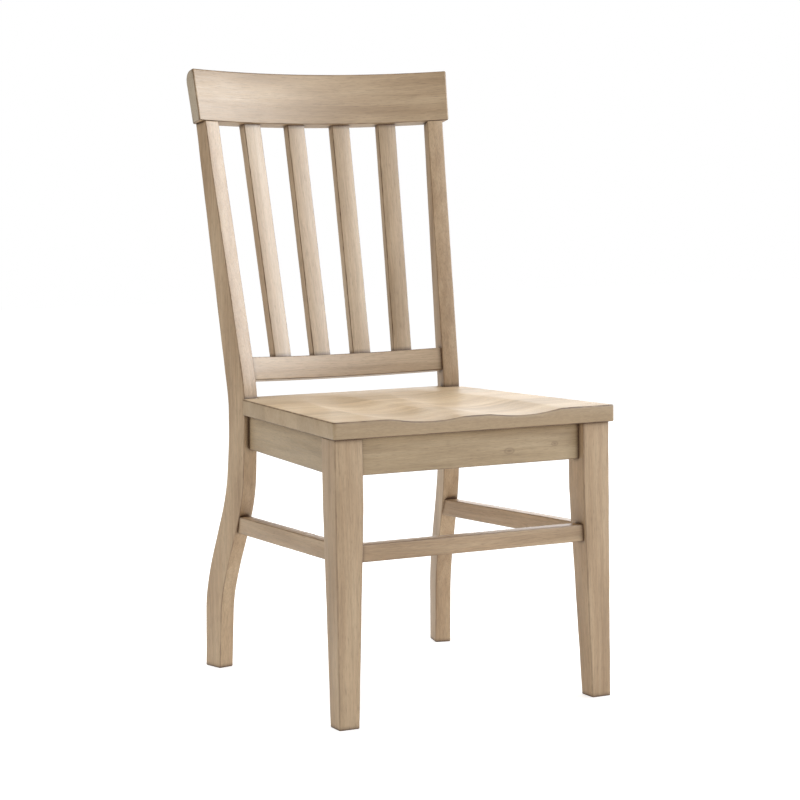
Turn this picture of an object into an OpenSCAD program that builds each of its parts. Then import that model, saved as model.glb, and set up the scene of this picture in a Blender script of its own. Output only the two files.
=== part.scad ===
// Slat-back dining chair in solid wood: scooped seat, tapered front legs,
// sabre rear posts turned to follow a curved back, crest, back rail, four slats,
// aprons, stretchers, glued and screwed corner blocks, dowel joints.
// Millimetres, +Z up, the sitter faces -Y, the floor is z = 0.

/* [Seat] */
// Height of the seat's flat rim above the floor
seat_h = 457; // [400:1:560]
// Thickness of the seat board
seat_t = 26; // [22:1:36]
// Width across the seat's front edge
seat_front_w = 478; // [400:1:580]
// Width across the seat's rear edge
seat_rear_w = 400; // [335:1:485]
// Depth of the seat from front edge to rear edge
seat_d = 460; // [385:1:555]
// How far the seat's front edge stands out past the front legs
seat_overhang = 9; // [2:1:20]
// How far the seat's front corners stand out past the legs at each side
seat_side_overhang = 5; // [2:1:15]
// Radius of the seat's front corners in plan
seat_corner_r = 4; // [3:1:20]
// Greatest depth of the two thigh scoops below the rim
scoop_depth = 9; // [2:0.5:12]
// Distance from the middle of the seat to the middle of each scoop
scoop_offset = 78; // [50:1:100]
// Distance from the middle of a scoop to its outer edge
scoop_reach = 75; // [40:1:90]
// How far the hump between the scoops lies below the rim
hump_depth = 3; // [1:0.5:5]

/* [Front legs] */
// Side of the square front leg where it meets the aprons
leg_w = 46; // [38:1:56]
// Side of the square front leg at the floor
foot_w = 33; // [26:1:38]
// Straight stretch of the leg below the aprons, above the taper
leg_straight = 50; // [10:1:90]

/* [Rear posts] */
// Width of a rear post, seen from the front
post_w = 27; // [22:1:34]
// Depth of a rear post at the floor
post_foot_d = 40; // [34:1:52]
// Depth of a rear post at its widest, below the aprons
post_knee_d = 49; // [40:1:60]
// Depth of a rear post at the aprons
post_waist_d = 43; // [38:1:54]
// Depth of a rear post just above the seat
post_seat_d = 47; // [40:1:58]
// Depth of a rear post under the crest
post_top_d = 27; // [22:1:34]
// Angle by which each post's front face turns towards the middle
post_turn = 13.5; // [4:0.5:18]
// How far the lower post sweeps back in its curve
post_sweep = 55; // [20:1:80]
// Backward lean of the lower post, per millimetre of height
post_lean = 0.07; // [0:0.01:0.12]
// Distance from the post's front face to the seat's rear edge
post_from_rear = 31; // [20:1:40]
// How far the posts' outer faces lie inside the seat's sides
post_inset = 4.5; // [0:0.5:10]

/* [Back] */
// Recline of the back from upright, in degrees
recline = 11.6; // [4:0.2:18]
// Radius of the curved back, at the front face of the crest
back_r = 823; // [600:1:1400]
// Length up the back from seat level to the underside of the crest
crest_rise = 456; // [380:1:550]
// Height of the crest, along the back
crest_h = 86; // [60:1:120]
// Thickness of the crest at its underside
crest_t = 30; // [24:1:40]
// Extra thickness of the crest near its top
crest_swell = 3; // [0:1:8]
// Radius along the crest's top back edge
crest_round = 17; // [6:1:22]
// How far the crest stands out past each post
crest_overhang = 11; // [3:1:25]
// Length up the back from seat level to the underside of the back rail
rail_rise = 26; // [15:1:60]
// Height of the back rail
rail_h = 38; // [28:1:60]
// Thickness of the back rail
rail_t = 26; // [20:1:30]
// Setback of the back rail's front face from the crest's
rail_setback = 1; // [0:0.5:6]
// Width of a slat
slat_w = 32; // [22:1:40]
// Thickness of a slat
slat_t = 17; // [10:1:19]
// Setback of the slats' front faces from the crest's
slat_setback = 7; // [4:0.5:9]
// Distance between slat centres under the crest
slat_pitch_top = 83.5; // [70:0.5:92]
// Distance between slat centres above the back rail
slat_pitch_low = 73.5; // [60:0.5:80]
// How deep a slat's ends are housed in the crest and the back rail
slat_tenon = 12; // [6:1:18]

/* [Aprons and stretchers] */
// Height of the aprons
apron_h = 57; // [45:1:75]
// Thickness of the aprons
apron_t = 18; // [15:1:22]
// Setback of the front apron from the front of the legs
apron_setback = 14; // [4:1:20]
// Setback of the side aprons from the seat's side
side_apron_setback = 13; // [6:1:18]
// Setback of the rear apron from the front of the posts
rear_apron_setback = 9; // [4:1:14]
// Height above the floor of the top of the front stretcher
front_stretcher_top = 272; // [200:1:310]
// Height of the front stretcher
front_stretcher_h = 26; // [20:1:40]
// Thickness of the front stretcher
front_stretcher_t = 24; // [16:1:28]
// Setback of the front stretcher from the front of the legs
front_stretcher_setback = 6.5; // [3:0.5:12]
// Thickness of the side stretchers
stretcher_t = 20; // [16:1:24]
// Height of the side stretchers
side_stretcher_h = 28; // [22:1:40]
// Height above the floor of the side stretcher's centre line at the front leg
side_stretcher_front_z = 257; // [180:1:300]
// Height above the floor of the side stretcher's centre line at the rear post
side_stretcher_rear_z = 247; // [170:1:300]
// Setback of the side stretcher from the outer face of the front leg
side_stretcher_setback = 18; // [8:1:20]

/* [Joints] */
// Diameter of the apron and back rail dowels
dowel_d = 8; // [6:1:10]
// Diameter of the stretcher and crest dowels
thick_dowel_d = 10; // [8:1:12]
// How deep a dowel goes into each of its two pieces
dowel_depth = 14; // [10:1:17]
// How deep the crest dowels go into each of their two pieces
crest_dowel_depth = 24; // [15:1:35]
// Depth of a corner block, from top to bottom
block_h = 24; // [18:1:30]
// Reach of a corner block along each apron
block_reach = 75; // [62:1:95]
// Diameter of a screw's shank
screw_d = 4.2; // [3.5:0.1:5]
// Diameter of a screw's head
screw_head_d = 8.4; // [7:0.1:10]
// Length of a seat screw's shank
seat_screw_l = 39; // [36:1:42]

/* [Clearances] */
// Gap all round a slat's housed ends
slat_gap = 0.2; // [0.05:0.05:0.5]
// Gap between the seat's notches and the posts
notch_gap = 0.6; // [0.2:0.1:2]
// Gap round a dowel for glue
dowel_gap = 0.1; // [0.05:0.05:0.3]
// Gap round a screw
screw_gap = 0.15; // [0.05:0.05:0.4]

/* [Hidden] */
$fn = 48;

// Finish colours, one for each cut of the washed wood and one each for dowels and screws
wood_face = "#C0A585";
wood_seat = "#CDB996";
wood_side = "#B4997A";
wood_back = "#C7AE90";
dowel_wood = "#D9BE93";
screw_metal = "#B9B9B4";

far = 1000;
under_seat = seat_h - seat_t;
apron_z = under_seat - apron_h;
taper_z = apron_z - leg_straight;
seat_front_y = -seat_overhang;
seat_rear_y = seat_front_y + seat_d;
leg_out = seat_front_w / 2 - seat_side_overhang;
leg_in = leg_out - leg_w;

// Half width of the seat at depth y
function seat_half(y) =
    (seat_front_w + (seat_rear_w - seat_front_w) * (y - seat_front_y) / seat_d) / 2;

// Side of the tapered front leg at height z
function leg_side(z) = z > taper_z ? leg_w : foot_w + (leg_w - foot_w) * z / taper_z;

// Smooth step from 0 to 1 as t goes from 0 to 1
function ease(t) = let(c = min(1, max(0, t))) c * c * (3 - 2 * c);

// Rear post in its own upright plane: the front line and the depth at height z
bend_z = seat_h + 15;
bend_soft = 12;
sweep_top_z = 0.71 * seat_h;
sweep_low_z = 0.2 * seat_h;
knee_z = 0.52 * seat_h;
waist_z = 0.85 * seat_h;
hip_z = seat_h + 43;
post_top_z = seat_h + crest_rise * cos(recline);
rake = tan(recline) / cos(post_turn);
lean_top_z = seat_h - 17;

function post_upper(z) = rake * bend_soft * ln(1 + exp(min(60, (z - bend_z) / bend_soft)));
function post_lower(z) = post_lean * max(0, lean_top_z - z)
    + post_sweep * ease((sweep_top_z - z) / (sweep_top_z - sweep_low_z));
function post_front(z) = post_upper(z) + post_lower(z);
function between(z, z0, d0, z1, d1) = d0 + (d1 - d0) * ease((z - z0) / (z1 - z0));
function post_depth(z) =
    z < knee_z ? between(z, 0, post_foot_d, knee_z, post_knee_d) :
    z < waist_z ? between(z, knee_z, post_knee_d, waist_z, post_waist_d) :
    z < hip_z ? between(z, waist_z, post_waist_d, hip_z, post_seat_d) :
    post_seat_d + (post_top_d - post_seat_d) * (z - hip_z) / (post_top_z - hip_z);

// Left post's front outer edge at seat level; the right post mirrors it
post_y = seat_rear_y - post_from_rear;
post_x = -seat_half(post_y) + post_inset;
// A point of the left post's plane, across the post by a and back by u
function post_point(a, u) = [
    post_x + a * cos(post_turn) - u * sin(post_turn),
    post_y + a * sin(post_turn) + u * cos(post_turn)];

// The back's own frame: origin at seat level on the crest's centre line, tilted by recline.
// Its depth is set so that the crest's front face meets the posts' front outer edges.
top_edge = post_point(0, post_front(post_top_z));
function bow(x, r) = r - sqrt(r * r - x * x);
back_y = top_edge[1] + bow(top_edge[0], back_r) * cos(recline) - crest_rise * sin(recline);
crest_half_low = -top_edge[0] + crest_overhang;
crest_fan = crest_h * cos(recline) * rake * sin(post_turn);

// Overall depth, for an origin under the middle of the chair's box
crest_rear_y = back_y + (crest_rise + crest_h - crest_round) * sin(recline)
    + (crest_t + crest_swell - crest_round) * cos(recline) + crest_round;
foot_rear_y = post_point(post_w, post_front(0) + post_foot_d)[1];
middle_y = (seat_front_y + max(crest_rear_y, foot_rear_y)) / 2;

module chair_frame() {
    translate([0, -middle_y, 0]) children();
}

module back_frame() {
    translate([0, back_y, seat_h]) rotate([-recline, 0, 0]) children();
}

module post_frame() {
    translate([post_x, post_y, 0]) rotate([0, 0, post_turn]) children();
}

module right_side() {
    mirror([1, 0, 0]) children();
}

module both_sides() {
    children();
    mirror([1, 0, 0]) children();
}

// ---- rear posts ----

post_steps = 64;
post_step_z = (post_top_z + crest_h) / post_steps;
post_zs = [for (i = [0 : post_steps]) i * post_step_z];
module post_blank() {
    front = [for (z = post_zs) [post_front(z), z]];
    rear = [for (i = [post_steps : -1 : 0])
        [post_front(post_zs[i]) + post_depth(post_zs[i]), post_zs[i]]];
    outline = concat(front, rear);
    post_frame() rotate([90, 0, 90]) linear_extrude(post_w) polygon(outline);
}

module above_crest_underside() {
    back_frame() translate([-far, -far, crest_rise]) cube([2 * far, 2 * far, far]);
}

module left_post_solid() {
    difference() {
        post_blank();
        above_crest_underside();
    }
}

// Everything outboard of the left post's inner face
module outboard_of_left_post() {
    post_frame() translate([post_w - far, -far, -1]) cube([far, 2 * far, 2 * far]);
}

// ---- dowels ----

module dowel(d, half, gap = 0) {
    cylinder(d = d + 2 * gap, h = 2 * half + 2 * gap, center = true);
}

// Heights of the dowels, as shares of the apron; the side aprons' dowels lie lower than
// the front and rear aprons' so that the two sets pass each other inside the legs
high_dowel_z = [for (share = [0.38, 0.82]) apron_z + apron_h * share];
low_dowel_z = [for (share = [0.18, 0.62]) apron_z + apron_h * share];
front_apron_mid_y = apron_setback + apron_t / 2;

module front_apron_dowels_left(gap = 0) {
    for (z = high_dowel_z)
        translate([-leg_in, front_apron_mid_y, z])
            rotate([0, 90, 0]) dowel(dowel_d, dowel_depth, gap);
}

side_apron_mid = side_apron_setback + apron_t / 2;
side_angle = atan((seat_front_w - seat_rear_w) / 2 / seat_d);

// A point on the left side apron's centre line at depth y
function side_mid_x(y) = -seat_half(y) + side_apron_mid / cos(side_angle);

module side_apron_dowels_left(gap = 0) {
    for (z = low_dowel_z) {
        translate([side_mid_x(leg_w), leg_w, z])
            rotate([-90, 0, 0]) dowel(dowel_d, dowel_depth, gap);
        rear_y = post_y + post_front(z);
        translate([side_mid_x(rear_y), rear_y + side_dowel_shift, z])
            rotate([-90, 0, 0]) dowel(dowel_d, dowel_depth, gap);
    }
}
// The post's front face runs back towards the middle, so the dowel sits that much deeper
side_dowel_shift = (side_mid_x(post_y) - post_x) * tan(post_turn);

rear_apron_mid_u = rear_apron_setback + apron_t / 2;
module rear_apron_dowels_left(gap = 0) {
    for (z = high_dowel_z)
        post_frame() translate([post_w, rear_apron_mid_u + post_front(z), z])
            rotate([0, 90, 0]) dowel(dowel_d, dowel_depth, gap);
}

module apron_dowels_all(gap = 0) {
    both_sides() {
        front_apron_dowels_left(gap);
        side_apron_dowels_left(gap);
        rear_apron_dowels_left(gap);
    }
}

front_stretcher_mid_z = front_stretcher_top - front_stretcher_h / 2;
module front_stretcher_dowel_left(gap = 0) {
    z = front_stretcher_mid_z;
    translate([-leg_out + leg_side(z), front_stretcher_setback + front_stretcher_t / 2, z])
        rotate([0, 90, 0]) dowel(thick_dowel_d, dowel_depth, gap);
}

// Side stretcher's centre line, from the leg's tapered back face to the post's front face
stretcher_a = [-leg_out + side_stretcher_setback + stretcher_t / 2,
    leg_side(side_stretcher_front_z), side_stretcher_front_z];
stretcher_b_plan = post_point(post_w / 2, post_front(side_stretcher_rear_z));
stretcher_b = [stretcher_b_plan[0], stretcher_b_plan[1], side_stretcher_rear_z];
stretcher_run = stretcher_b - stretcher_a;
stretcher_heading = -atan2(stretcher_run[0], stretcher_run[1]);
stretcher_pitch = atan2(stretcher_run[2], norm([stretcher_run[0], stretcher_run[1]]));

// Places things on the left stretcher's centre line, +Y running to the rear
module stretcher_frame(at) {
    translate(at) rotate([0, 0, stretcher_heading]) rotate([stretcher_pitch, 0, 0]) children();
}

module side_stretcher_dowels_left(gap = 0) {
    for (at = [stretcher_a, stretcher_b])
        stretcher_frame(at) rotate([90, 0, 0]) dowel(thick_dowel_d, dowel_depth, gap);
}

module stretcher_dowels_all(gap = 0) {
    both_sides() {
        front_stretcher_dowel_left(gap);
        side_stretcher_dowels_left(gap);
    }
}

post_top_plan = post_point(post_w / 2, post_front(post_top_z) + post_top_d / 2);
post_top_mid_z = seat_h + (crest_rise - (post_top_plan[1] - back_y) * sin(recline)) / cos(recline);
module crest_dowel_left(gap = 0) {
    translate([post_top_plan[0], post_top_plan[1], post_top_mid_z])
        rotate([-recline, 0, 0]) dowel(thick_dowel_d, crest_dowel_depth, gap);
}

rail_mid_z = seat_h + (rail_rise + rail_h / 2) * cos(recline);
rail_dowel_spread = rail_h / 4;
module back_rail_dowels_left(gap = 0) {
    for (side = [-1, 1]) {
        z = rail_mid_z + side * rail_dowel_spread;
        post_frame() translate([post_w, post_front(z) + rail_in_post + rail_t / 2, z])
            rotate([0, 90, 0]) dowel(dowel_d, dowel_depth, gap);
    }
}

// How far behind the post's front line the back rail's front face meets the inner face
rail_meet = post_point(post_w, post_front(rail_mid_z));
rail_face_y = back_y + (rail_setback - bow(rail_meet[0], back_r)) * cos(recline)
    + (rail_rise + rail_h / 2) * sin(recline);
rail_in_post = (rail_face_y - rail_meet[1]) / cos(post_turn);

// ---- seat ----

// Where along the seat, front to rear, the scoops are deepest and where they run out
scoop_full_y = seat_front_y + 0.3 * seat_d;
scoop_end_y = seat_front_y + 0.9 * seat_d;

// Radius of the circle whose chord has this half length and this depth
function chord_radius(half, depth) = (half * half + depth * depth) / (2 * depth);

// A long shallow hollow along the seat: part of a ring with a round section,
// standing on edge, so that it is hollow both across and along
module scoop(x, reach, depth) {
    tube = chord_radius(reach, depth);
    ring = chord_radius(scoop_end_y - scoop_full_y, depth);
    translate([x, scoop_full_y, seat_h - depth + ring]) rotate([0, 90, 0])
        rotate_extrude(angle = 24, start = -12, $fn = 256)
            translate([ring - tube, 0]) difference() {
                circle(tube, $fn = 256);
                translate([-2 * tube, -tube]) square(2 * tube);
            }
}

corner_steps = 8;
module seat_outline() {
    r = seat_corner_r;
    y = seat_front_y + r;
    x = seat_half(y) - r / cos(side_angle);
    right_arc = [for (i = [0 : corner_steps])
        let(a = -90 + (90 + side_angle) * i / corner_steps) [x + r * cos(a), y + r * sin(a)]];
    left_arc = [for (i = [corner_steps : -1 : 0]) [-right_arc[i][0], right_arc[i][1]]];
    polygon(concat(right_arc,
        [[seat_half(seat_rear_y), seat_rear_y], [-seat_half(seat_rear_y), seat_rear_y]],
        left_arc));
}

// The corner cut out of the seat for the left post, open to the side and the rear
module seat_notch_left() {
    post_frame() translate([post_w + notch_gap - far, notch_front - notch_gap, under_seat - 1])
        cube([far, far, seat_t + 2]);
}
notch_front = min(post_front(under_seat), post_front(seat_h), post_front(lean_top_z));

// ---- screws ----

screw_head_h = 3;
block_z = under_seat - block_h;

// A screw along +Z, its head's underside at the origin
module screw(l, gap = 0) {
    cylinder(d = screw_d + 2 * gap, h = l + gap);
    translate([0, 0, -screw_head_h]) cylinder(d = screw_head_d + 2 * gap, h = screw_head_h);
}

// The seat screws stand a third of a block's reach from its aprons, the block screws
// further out, near the block's ends
block_edge = block_reach / 3;
block_screw_reach = 0.6 * block_reach;
front_block_seat_screw = [side_mid_x(0) + apron_t / 2 + block_edge,
    front_apron_mid_y + apron_t / 2 + block_edge];
rear_apron_plan = post_point(post_w, rear_apron_setback);
rear_block_seat_screw = [rear_apron_plan[0] + block_edge, rear_apron_plan[1] - block_edge];

block_screw_grip = 14;
block_screw_l = block_screw_grip + apron_t * 0.75;
block_screw_z = block_z + block_h / 2;

// The four seat screws, through the corner blocks into the seat
module seat_screws_left(gap = 0) {
    for (at = [front_block_seat_screw, rear_block_seat_screw])
        translate([at[0], at[1], block_z]) screw(seat_screw_l, gap);
}

// Screws from the front block into the front and side aprons, and from the rear block
// into the side and rear aprons
front_screw_x = side_mid_x(0) + apron_t / 2 + block_screw_reach;
side_screw_front_y = front_apron_mid_y + apron_t / 2 + block_screw_reach;
rear_apron_y = rear_apron_plan[1];
side_screw_rear_y = rear_apron_y - block_screw_reach;
rear_screw_x = rear_apron_plan[0] + block_screw_reach;

module block_screws_left(gap = 0) {
    translate([front_screw_x, apron_setback + apron_t + block_screw_grip, block_screw_z])
        rotate([90, 0, 0]) screw(block_screw_l, gap);
    for (y = [side_screw_front_y, side_screw_rear_y])
        translate([side_mid_x(y) + apron_t / 2 + block_screw_grip, y, block_screw_z])
            rotate([0, -90, 0]) screw(block_screw_l, gap);
    translate([rear_screw_x, rear_apron_y - block_screw_grip, block_screw_z])
        rotate([-90, 0, 0]) screw(block_screw_l, gap);
}

// Straight way in for each block screw's head and the driver
module block_screw_ways_left() {
    d = screw_head_d + 2 * screw_gap;
    translate([front_screw_x, apron_setback + apron_t + block_screw_grip, block_screw_z])
        rotate([-90, 0, 0]) cylinder(d = d, h = block_reach);
    for (y = [side_screw_front_y, side_screw_rear_y])
        translate([side_mid_x(y) + apron_t / 2 + block_screw_grip, y, block_screw_z])
            rotate([0, 90, 0]) cylinder(d = d, h = block_reach);
    translate([rear_screw_x, rear_apron_y - block_screw_grip, block_screw_z])
        rotate([90, 0, 0]) cylinder(d = d, h = block_reach);
}

// ---- solids of the left side, mirrored for the right ----

module left_leg_solid() {
    difference() {
        translate([-leg_out, 0, 0]) cube([leg_w, leg_w, under_seat]);
        leg_taper_cut();
    }
}

// Taper on the leg's inner and back faces, from the straight stretch down to the foot
module leg_taper_cut() {
    cut = leg_w - foot_w;
    wedge = [[leg_w - cut, 0], [leg_w, taper_z], [leg_w + far, taper_z], [leg_w + far, -far],
        [leg_w - cut - far * cut / taper_z, -far]];
    translate([-leg_out, leg_w + 1, 0]) rotate([90, 0, 0])
        linear_extrude(leg_w + 2) polygon(wedge);
    translate([-leg_out - 1, 0, 0]) rotate([90, 0, 90])
        linear_extrude(leg_w + 2) polygon(wedge);
}

// The side apron before its rear end is cut to the post
module left_apron_bar() {
    outer = side_apron_setback / cos(side_angle);
    inner = outer + apron_t / cos(side_angle);
    y0 = leg_w;
    y1 = post_y + post_waist_d;
    translate([0, 0, apron_z]) linear_extrude(apron_h) polygon([
        [-seat_half(y0) + outer, y0], [-seat_half(y0) + inner, y0],
        [-seat_half(y1) + inner, y1], [-seat_half(y1) + outer, y1]]);
}

module left_apron_solid() {
    difference() {
        left_apron_bar();
        behind_post_front(apron_z - 1, under_seat + 1);
    }
}

// The left post's front face carried out sideways, and everything behind it, from z0 to z1
module behind_post_front(z0, z1) {
    zs = [for (z = post_zs) if (z > z0 - post_step_z && z < z1 + post_step_z) z];
    last = zs[len(zs) - 1];
    outline = concat([for (z = zs) [post_front(z), z]], [[far, last], [far, zs[0]]]);
    post_frame() rotate([90, 0, 90]) translate([0, 0, -far])
        linear_extrude(2 * far) polygon(outline);
}

// The rear apron before its ends are cut to the posts
module rear_apron_bar() {
    translate([post_x, rear_apron_y, apron_z]) cube([-2 * post_x, apron_t, apron_h]);
}

module rear_apron_solid() {
    difference() {
        rear_apron_bar();
        both_sides() outboard_of_left_post();
    }
}

module front_apron_solid() {
    translate([-leg_in, apron_setback, apron_z]) cube([2 * leg_in, apron_t, apron_h]);
}

module front_block_solid() {
    corner = [side_mid_x(front_apron_mid_y), front_apron_mid_y];
    reach = block_reach + apron_t / 2;
    difference() {
        translate([0, 0, block_z]) linear_extrude(block_h) polygon([corner,
            corner + [reach, 0],
            [side_mid_x(corner[1] + reach), corner[1] + reach]]);
        left_leg_solid();
        left_apron_solid();
        front_apron_solid();
    }
}

module rear_block_solid() {
    y = rear_apron_y + apron_t / 2;
    corner = [side_mid_x(y), y];
    reach = block_reach + apron_t / 2 + post_w / 2;
    difference() {
        translate([0, 0, block_z]) linear_extrude(block_h) polygon([corner,
            [side_mid_x(y - reach), y - reach],
            corner + [reach, 0]]);
        left_post_solid();
        left_apron_bar();
        rear_apron_bar();
    }
}

module left_stretcher_solid() {
    overlap = foot_w / 2;
    length = norm(stretcher_run) + overlap + post_knee_d;
    difference() {
        stretcher_frame(stretcher_a)
            translate([-stretcher_t / 2, -overlap, -side_stretcher_h / 2])
                cube([stretcher_t, length, side_stretcher_h]);
        left_leg_solid();
        behind_post_front(stretcher_b[2] - side_stretcher_h, stretcher_b[2] + side_stretcher_h);
    }
}

module front_stretcher_solid() {
    z0 = front_stretcher_top - front_stretcher_h;
    difference() {
        translate([-leg_out + foot_w / 2, front_stretcher_setback, z0])
            cube([2 * leg_out - foot_w, front_stretcher_t, front_stretcher_h]);
        both_sides() left_leg_solid();
    }
}

// ---- back pieces ----

// The crest's section: radius across, height up; swollen near the top, rounded behind
module crest_section() {
    thick = crest_t + crest_swell;
    r = crest_round;
    difference() {
        polygon([[back_r, crest_rise], [back_r + crest_t, crest_rise],
            [back_r + thick, crest_rise + crest_h - r], [back_r + thick, crest_rise + crest_h],
            [back_r, crest_rise + crest_h]]);
        difference() {
            translate([back_r + thick - r, crest_rise + crest_h - r]) square(2 * r);
            translate([back_r + thick - r, crest_rise + crest_h - r]) circle(r);
        }
    }
}

// Sweeps a section round the back's axis, which stands in front of the sitter's back
module swept_back() {
    half = 22;
    translate([0, -back_r, 0]) rotate([0, 0, 90 - half])
        rotate_extrude(angle = 2 * half, $fn = 360) children();
}

module crest_solid() {
    top_half = crest_half_low + crest_fan;
    back_frame() intersection() {
        swept_back() crest_section();
        translate([0, far / 2, 0]) rotate([90, 0, 0]) linear_extrude(far) polygon([
            [-crest_half_low, crest_rise], [crest_half_low, crest_rise],
            [top_half, crest_rise + crest_h], [-top_half, crest_rise + crest_h]]);
    }
}

module back_rail_solid() {
    difference() {
        back_frame() intersection() {
            swept_back() translate([back_r + rail_setback, rail_rise]) square([rail_t, rail_h]);
            translate([post_x, -far / 2, 0]) cube([-2 * post_x, far, crest_rise]);
        }
        both_sides() outboard_of_left_post();
    }
}

// Slat number k, counted from the left, as a straight bar on the curve of the back
function slat_x(k, pitch) = (k - 2.5) * pitch;
slat_low = rail_rise + rail_h - slat_tenon;
slat_high = crest_rise + slat_tenon;
module slat_bar(k, gap = 0) {
    r = back_r + slat_setback;
    low = slat_x(k, slat_pitch_low);
    high = slat_x(k, slat_pitch_top);
    run = [high - low, bow(low, r) - bow(high, r), slat_high - slat_low];
    turn = -asin((low + high) / 2 / r);
    tilt_x = asin(run[0] / norm(run));
    tilt_y = -atan2(run[1], run[2]);
    back_frame() translate([low, slat_setback - bow(low, r), slat_low])
        rotate([tilt_y, 0, 0]) rotate([0, tilt_x, 0]) rotate([0, 0, turn])
            translate([-slat_w / 2 - gap, -gap, -gap])
                cube([slat_w + 2 * gap, slat_t + 2 * gap, norm(run) + 2 * gap]);
}

// ---- the pieces ----

module seat() {
    color(wood_seat) chair_frame() difference() {
        translate([0, 0, under_seat]) linear_extrude(seat_t) seat_outline();
        scoop(0, scoop_offset, hump_depth);
        both_sides() {
            scoop(scoop_offset, scoop_reach, scoop_depth);
            seat_notch_left();
            seat_screws_left(screw_gap);
        }
    }
}

module front_left_leg() {
    color(wood_side) chair_frame() difference() {
        left_leg_solid();
        front_apron_dowels_left(dowel_gap);
        side_apron_dowels_left(dowel_gap);
        front_stretcher_dowel_left(dowel_gap);
        side_stretcher_dowels_left(dowel_gap);
    }
}

module front_right_leg() {
    right_side() front_left_leg();
}

module rear_left_post() {
    color(wood_side) chair_frame() difference() {
        left_post_solid();
        side_apron_dowels_left(dowel_gap);
        rear_apron_dowels_left(dowel_gap);
        side_stretcher_dowels_left(dowel_gap);
        crest_dowel_left(dowel_gap);
        back_rail_dowels_left(dowel_gap);
    }
}

module rear_right_post() {
    right_side() rear_left_post();
}

module crest_rail() {
    color(wood_back) chair_frame() difference() {
        crest_solid();
        for (k = [1 : 4]) slat_bar(k, slat_gap);
        both_sides() crest_dowel_left(dowel_gap);
    }
}

module back_rail() {
    color(wood_back) chair_frame() difference() {
        back_rail_solid();
        for (k = [1 : 4]) slat_bar(k, slat_gap);
        both_sides() back_rail_dowels_left(dowel_gap);
    }
}

module slat(k) {
    color(wood_face) chair_frame() slat_bar(k);
}

module front_apron() {
    color(wood_face) chair_frame() difference() {
        front_apron_solid();
        both_sides() {
            front_apron_dowels_left(dowel_gap);
            block_screws_left(screw_gap);
        }
    }
}

module rear_apron() {
    color(wood_side) chair_frame() difference() {
        rear_apron_solid();
        both_sides() {
            rear_apron_dowels_left(dowel_gap);
            block_screws_left(screw_gap);
        }
    }
}

module left_apron() {
    color(wood_side) chair_frame() difference() {
        left_apron_solid();
        side_apron_dowels_left(dowel_gap);
        block_screws_left(screw_gap);
    }
}

module right_apron() {
    right_side() left_apron();
}

module front_stretcher() {
    color(wood_face) chair_frame() difference() {
        front_stretcher_solid();
        both_sides() front_stretcher_dowel_left(dowel_gap);
    }
}

module left_stretcher() {
    color(wood_side) chair_frame() difference() {
        left_stretcher_solid();
        side_stretcher_dowels_left(dowel_gap);
    }
}

module right_stretcher() {
    right_side() left_stretcher();
}

module front_left_block() {
    color(wood_side) chair_frame() difference() {
        front_block_solid();
        seat_screws_left(screw_gap);
        block_screws_left(screw_gap);
        block_screw_ways_left();
    }
}

module front_right_block() {
    right_side() front_left_block();
}

module rear_left_block() {
    color(wood_side) chair_frame() difference() {
        rear_block_solid();
        seat_screws_left(screw_gap);
        block_screws_left(screw_gap);
        block_screw_ways_left();
    }
}

module rear_right_block() {
    right_side() rear_left_block();
}

module apron_dowels() {
    color(dowel_wood) chair_frame() apron_dowels_all();
}

module stretcher_dowels() {
    color(dowel_wood) chair_frame() stretcher_dowels_all();
}

module crest_dowels() {
    color(dowel_wood) chair_frame() both_sides() crest_dowel_left();
}

module back_rail_dowels() {
    color(dowel_wood) chair_frame() both_sides() back_rail_dowels_left();
}

module block_screws() {
    color(screw_metal) chair_frame() both_sides() block_screws_left();
}

module seat_screws() {
    color(screw_metal) chair_frame() both_sides() seat_screws_left();
}

seat();
front_left_leg();
front_right_leg();
rear_left_post();
rear_right_post();
crest_rail();
back_rail();
slat(1);  // slat_1
slat(2);  // slat_2
slat(3);  // slat_3
slat(4);  // slat_4
front_apron();
rear_apron();
left_apron();
right_apron();
front_stretcher();
left_stretcher();
right_stretcher();
front_left_block();
front_right_block();
rear_left_block();
rear_right_block();
apron_dowels();
stretcher_dowels();
crest_dowels();
back_rail_dowels();
block_screws();
seat_screws();
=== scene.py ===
"""Slat-back dining chair in washed, wire-brushed hardwood: the look of every piece.

Each wooden piece is a surface worked out by formula: a rounded section carried along the
piece's length. Lengths are in millimetres until a mesh is made, in the maker's own frame:
x = 0 is the middle of the chair, y = 0 the front of the front legs, z = 0 the floor.
"""

import math

import bpy
import numpy as np
from mathutils import Matrix, Vector


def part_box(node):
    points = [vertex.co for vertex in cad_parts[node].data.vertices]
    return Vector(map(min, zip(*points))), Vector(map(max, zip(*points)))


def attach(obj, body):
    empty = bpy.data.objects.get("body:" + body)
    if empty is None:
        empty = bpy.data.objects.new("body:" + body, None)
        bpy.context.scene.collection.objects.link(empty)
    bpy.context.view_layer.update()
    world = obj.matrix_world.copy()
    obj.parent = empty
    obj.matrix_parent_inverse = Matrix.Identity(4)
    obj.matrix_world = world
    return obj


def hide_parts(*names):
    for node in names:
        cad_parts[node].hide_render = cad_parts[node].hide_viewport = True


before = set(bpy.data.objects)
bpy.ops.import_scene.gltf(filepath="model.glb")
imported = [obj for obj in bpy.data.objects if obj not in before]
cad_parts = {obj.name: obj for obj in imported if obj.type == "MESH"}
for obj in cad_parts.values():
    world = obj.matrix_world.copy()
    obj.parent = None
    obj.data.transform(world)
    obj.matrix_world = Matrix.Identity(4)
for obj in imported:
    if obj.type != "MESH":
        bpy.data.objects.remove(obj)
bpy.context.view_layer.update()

MM = 0.001

# ---------------------------------------------------------------- sizes of the chair, mm

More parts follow.
